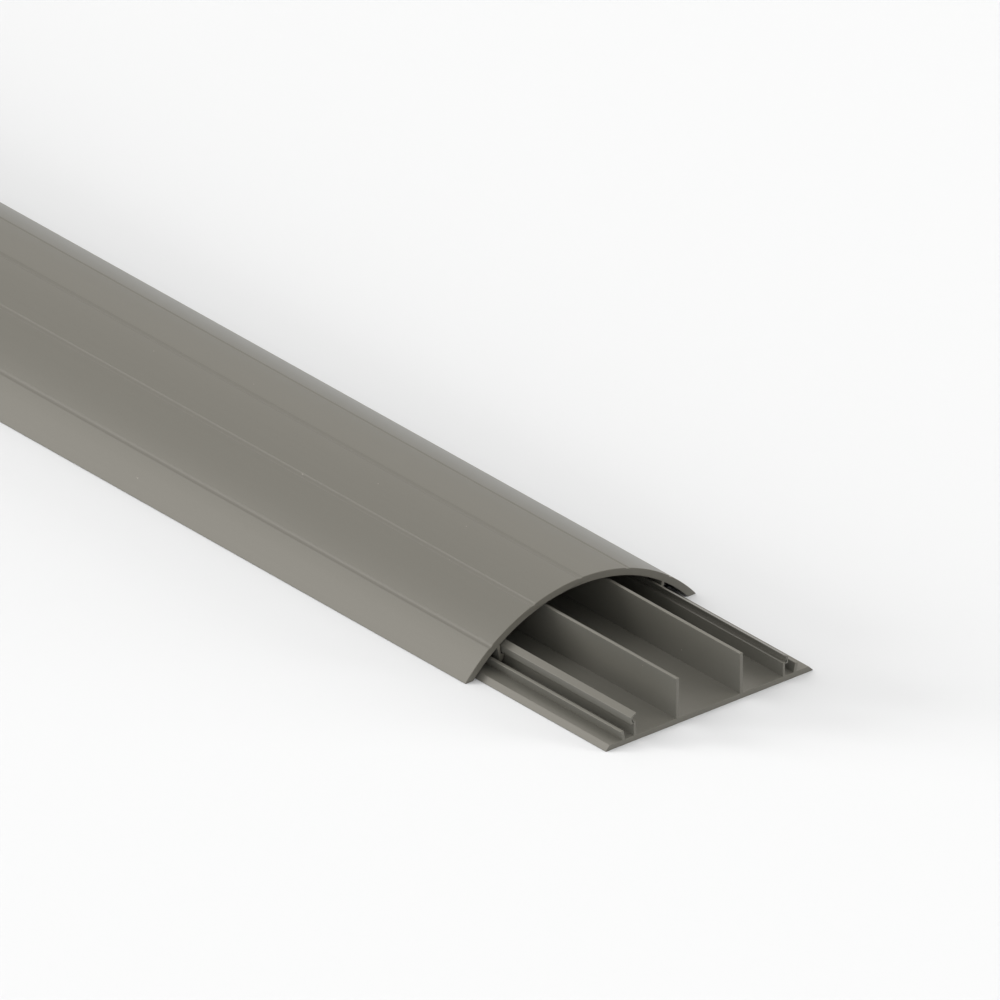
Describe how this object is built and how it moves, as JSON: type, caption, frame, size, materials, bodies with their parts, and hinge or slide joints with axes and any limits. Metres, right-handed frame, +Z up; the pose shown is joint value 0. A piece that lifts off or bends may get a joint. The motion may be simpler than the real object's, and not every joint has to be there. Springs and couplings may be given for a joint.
{
  "type": "floor cord cover",
  "caption": "Long low arched strip that lies on a floor over cords: a flat channelled base with clip rails and a rounded, grooved cover that clips on and slides along it.",
  "frame": {"origin": "middle of the base's underside, on the floor", "axes": "+X along the strip towards the end where the base shows from under the cover, +Y across it, +Z up from the floor"},
  "size_m": [1.0498, 0.075, 0.0173],
  "materials": {
    "base_pvc": "satin, as extruded",
    "cover_pvc": "satin, as extruded"
  },
  "bodies": {
    "base": {"base": "base_pvc"},
    "cover": {"cover": "cover_pvc"}
  },
  "joints": [
    {"name": "cover_slide", "type": "slide", "parent": "base", "child": "cover", "axis": [1, 0, 0], "range_m": [-0.9, 0.0498]}
  ]
}
